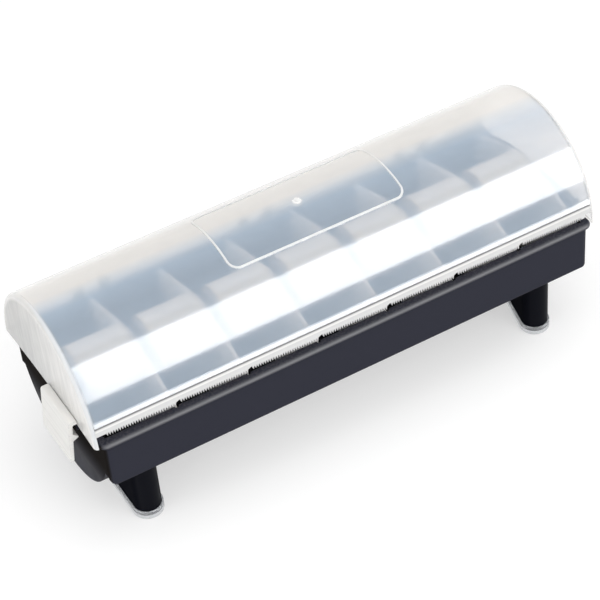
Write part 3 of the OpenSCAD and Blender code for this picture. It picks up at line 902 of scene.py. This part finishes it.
class DISPENSER_OT_tray(bpy.types.Operator):
    """Gives the tray its charcoal finish"""

    bl_idname = "dispenser.tray"
    bl_label = "Dress the tray"

    def execute(self, context):
        dress("base_tray", tray_finish(context.scene.dispenser_colours))
        return {"FINISHED"}


class DISPENSER_OT_lid(bpy.types.Operator):
    """Gives the lid its frosted finish and the tear strip its white one"""

    bl_idname = "dispenser.lid"
    bl_label = "Dress the lid"

    def execute(self, context):
        colours = context.scene.dispenser_colours
        dress("lid_shell", lid_finish(colours))
        # the strip's greyer white is painted shade
        strip = white_finish(colours, "strip_plastic", colours.strip, streak=(0.04, 1, 1), seam=SEAM_Z)
        dress("tear_strip", strip)
        return {"FINISHED"}


class DISPENSER_OT_latches(bpy.types.Operator):
    """Draws the two latches"""

    bl_idname = "dispenser.latches"
    bl_label = "Draw the latches"

    def execute(self, context):
        sizes = context.scene.dispenser_sizes
        colours = context.scene.dispenser_colours
        material = white_finish(colours, "latch_plastic", colours.latch, streak=(1, 0.1, 5))
        for node in LATCHES:
            piece = latch_plate(node + "_moulded", *node_box(node), side_of(node), sizes)
            stand_for(piece, node, material)
        return {"FINISHED"}


class DISPENSER_OT_dividers(bpy.types.Operator):
    """Gives the dividers and their hubs a pale finish"""

    bl_idname = "dispenser.dividers"
    bl_label = "Dress the dividers"

    def execute(self, context):
        material = divider_finish(context.scene.dispenser_colours)
        for node in DIVIDERS:
            dress(node, material)
        return {"FINISHED"}


class DISPENSER_OT_rolls(bpy.types.Operator):
    """Draws the label rolls"""

    bl_idname = "dispenser.rolls"
    bl_label = "Draw the label rolls"

    def execute(self, context):
        sizes = context.scene.dispenser_sizes
        material = label_finish(context.scene.dispenser_colours)
        for i, (node, core) in enumerate(zip(ROLLS, CORES)):
            low, high = node_box(core)
            bore = (high[2] - low[2]) / 2 + CORE_GAP
            piece = wound_roll(node + "_wound", *node_box(node), bore, sizes, turn=ROLL_TURN * i)
            stand_for(piece, node, material)
        return {"FINISHED"}


class DISPENSER_OT_cores(bpy.types.Operator):
    """Draws the card cores of the rolls"""

    bl_idname = "dispenser.cores"
    bl_label = "Draw the cores"

    def execute(self, context):
        material = card_finish(context.scene.dispenser_colours)
        for node in CORES:
            piece = card_tube(node + "_tube", *node_box(node), context.scene.dispenser_sizes)
            stand_for(piece, node, material)
        return {"FINISHED"}


class DISPENSER_OT_pads(bpy.types.Operator):
    """Draws the foot pads"""

    bl_idname = "dispenser.pads"
    bl_label = "Draw the foot pads"

    def execute(self, context):
        sizes = context.scene.dispenser_sizes
        material = pad_finish(context.scene.dispenser_colours)
        for node in PADS:
            end = -1 if "front" in node else 1
            piece = foot_boot(node + "_boot", *node_box(node), side_of(node), end, sizes)
            stand_for(piece, node, material)
        return {"FINISHED"}


def lay_floor(colours):
    """Wide flat floor at the height 0 under the object."""
    reach = np.linspace(-FLOOR_HALF, FLOOR_HALF, 3)
    points = np.stack([*np.meshgrid(reach, reach), np.zeros((3, 3))], -1)
    floor = surface("floor", points, grid_quads(3, 3, close_cols=False), merge=False)
    floor.data.materials.append(floor_finish(colours))


def studio_world():
    """Even white surroundings, a little weaker as light than as what is seen or mirrored."""
    f = Finish(bpy.data.worlds.new("studio"))
    strength = f.spread(f.seen(), 0.75, 1.0)
    glow = f.add("ShaderNodeBackground", {"Strength": strength}).outputs[0]
    return f.done(glow, output="ShaderNodeOutputWorld")


def area_light(name, place, target, size, power, gloss=False, diffuse=True):
    """Flat lamp at a place, turned towards a target."""
    lamp = bpy.data.lights.new(name, "AREA")
    lamp.shape = "RECTANGLE"
    lamp.size, lamp.size_y = size
    lamp.energy = power
    item = bpy.data.objects.new(name, lamp)
    item.location = place
    item.rotation_euler = (Vector(target) - Vector(place)).to_track_quat("-Z", "Y").to_euler()
    item.visible_glossy = gloss
    item.visible_diffuse = diffuse
    item.visible_transmission = False
    bpy.context.scene.collection.objects.link(item)


def hang_lamps():
    """Three soft fills that leave no gloss, and a softbox that only shows as gloss."""
    area_light("overhead", place=(0.1, -0.1, 1.6), target=(0, 0, 0), size=(1.6, 1.6), power=11.5)
    area_light("front_fill", place=(0.1, -0.9, 0.75), target=(0, 0, 0.05), size=(1.2, 0.8), power=6.0)
    area_light("left_fill", place=(-1.1, -0.35, 0.55), target=(-0.1, 0, 0.06), size=(0.8, 0.8), power=2.5)
    area_light(
        "softbox", place=(0.44, -0.665, 0.5825), target=(0.44, -0.035, 0.09), size=(0.786, 0.63), power=19.0,
        gloss=True, diffuse=False)


def photo_camera():
    """Camera that sees the object as the photo does."""
    camera = bpy.data.cameras.new("photo_camera")
    camera.lens = CAMERA_LENS
    camera.sensor_width = CAMERA_SENSOR
    camera.clip_start = 0.05
    item = bpy.data.objects.new("photo_camera", camera)
    item.location = CAMERA_PLACE
    item.rotation_euler = [math.radians(angle) for angle in CAMERA_TURN]
    bpy.context.scene.collection.objects.link(item)
    return item


class DISPENSER_OT_stage(bpy.types.Operator):
    """Sets up the pale floor, the studio lights and the camera"""

    bl_idname = "dispenser.stage"
    bl_label = "Set up the studio"

    def execute(self, context):
        scene = context.scene
        lay_floor(scene.dispenser_colours)
        scene.world = studio_world()
        hang_lamps()
        scene.camera = photo_camera()
        scene.view_settings.view_transform = "Standard"
        return {"FINISHED"}


class DISPENSER_PT_panel(bpy.types.Panel):
    """Lists the steps that dress the dispenser, and its sizes and colours"""

    bl_idname = "DISPENSER_PT_panel"
    bl_label = "Label dispenser"
    bl_space_type = "VIEW_3D"
    bl_region_type = "UI"
    bl_category = "Dispenser"

    def draw(self, context):
        for step in STEPS:
            self.layout.operator(step.bl_idname)
        for group in (context.scene.dispenser_sizes, context.scene.dispenser_colours):
            box = self.layout.box()
            for name in group.bl_rna.properties.keys():
                if name not in ("rna_type", "name"):
                    box.prop(group, name)


STEPS = (
    DISPENSER_OT_tray,
    DISPENSER_OT_lid,
    DISPENSER_OT_latches,
    DISPENSER_OT_dividers,
    DISPENSER_OT_rolls,
    DISPENSER_OT_cores,
    DISPENSER_OT_pads,
    DISPENSER_OT_stage,
)
CLASSES = (DispenserSizes, DispenserColours, *STEPS, DISPENSER_PT_panel)


def register():
    """Registers the classes and hangs the two groups on the scene."""
    for item in CLASSES:
        bpy.utils.register_class(item)
    bpy.types.Scene.dispenser_sizes = PointerProperty(type=DispenserSizes)
    bpy.types.Scene.dispenser_colours = PointerProperty(type=DispenserColours)


def unregister():
    """Takes the groups and classes away again."""
    del bpy.types.Scene.dispenser_colours
    del bpy.types.Scene.dispenser_sizes
    for item in reversed(CLASSES):
        bpy.utils.unregister_class(item)


def main():
    """Runs the steps in order."""
    register()
    bpy.ops.dispenser.tray()
    bpy.ops.dispenser.lid()
    bpy.ops.dispenser.latches()
    bpy.ops.dispenser.dividers()
    bpy.ops.dispenser.rolls()
    bpy.ops.dispenser.cores()
    bpy.ops.dispenser.pads()
    bpy.ops.dispenser.stage()


if __name__ == "__main__":
    main()
